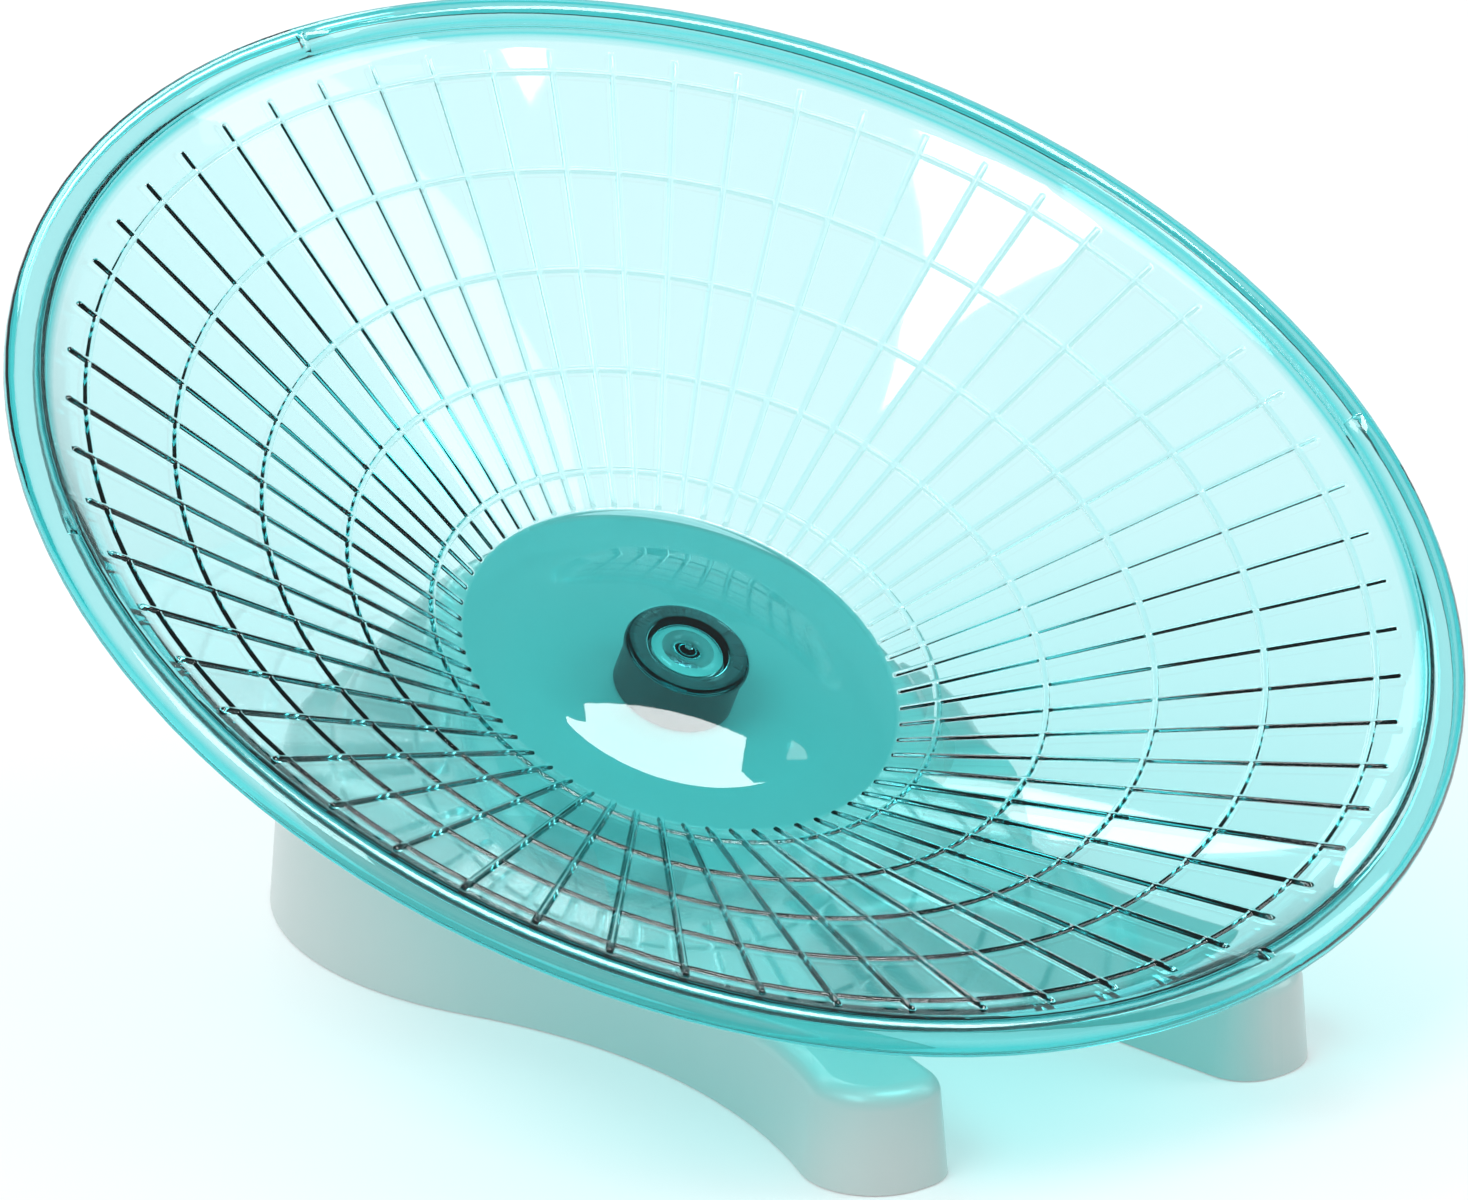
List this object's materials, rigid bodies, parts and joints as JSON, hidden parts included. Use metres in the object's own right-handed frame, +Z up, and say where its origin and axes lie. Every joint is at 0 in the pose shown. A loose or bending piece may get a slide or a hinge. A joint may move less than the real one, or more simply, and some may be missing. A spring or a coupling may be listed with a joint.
{
  "type": "flying saucer hamster wheel",
  "caption": "Flying saucer exercise wheel for a hamster: a clear teal ribbed dish spinning on a ball bearing hub over a light grey moulded stand.",
  "frame": {"origin": "on the table, under the centre of the part's bounding box, which is also under the rim's centre", "axes": "+Z up, the dish's low side and the stand's two legs face -Y, +X across the dish"},
  "size_m": [0.3, 0.2653, 0.1732],
  "materials": {
    "clear_teal_plastic": "clear polished moulding",
    "light_grey_plastic": "semi gloss moulding",
    "dark_grey_plastic": "satin moulding",
    "cage_plastic": "natural moulding",
    "bearing_steel": "ground",
    "spring_steel": "oiled",
    "zinc_steel": "zinc plated",
    "black_rubber": "matte"
  },
  "bodies": {
    "stand": {"base_shell": "light_grey_plastic", "spindle": "light_grey_plastic", "spindle_screw": "zinc_steel", "spindle_washer": "zinc_steel", "upper_inner_race": "bearing_steel", "lower_inner_race": "bearing_steel", "front_left_pad": "black_rubber", "front_right_pad": "black_rubber", "rear_left_pad": "black_rubber", "rear_right_pad": "black_rubber"},
    "saucer": {"dish": "clear_teal_plastic", "hub_housing": "dark_grey_plastic", "retaining_ring": "spring_steel", "upper_outer_race": "bearing_steel", "lower_outer_race": "bearing_steel", "upper_top_seal": "black_rubber", "upper_bottom_seal": "black_rubber", "lower_top_seal": "black_rubber", "lower_bottom_seal": "black_rubber"},
    "ball_sets": {"upper_balls": "bearing_steel", "upper_cage": "cage_plastic", "lower_balls": "bearing_steel", "lower_cage": "cage_plastic"}
  },
  "joints": [
    {"name": "dish_spin", "type": "hinge", "parent": "stand", "child": "saucer", "pos_m": [0, 0.02421, 0.055], "axis": [0, -0.4733, 0.8809], "continuous": true},
    {"name": "ball_set_spin", "type": "hinge", "parent": "stand", "child": "ball_sets", "pos_m": [0, 0.02421, 0.055], "axis": [0, -0.4733, 0.8809], "continuous": true}
  ],
  "couplings": [
    {"joint": "ball_set_spin", "follows": "dish_spin", "ratio": 0.55556}
  ]
}
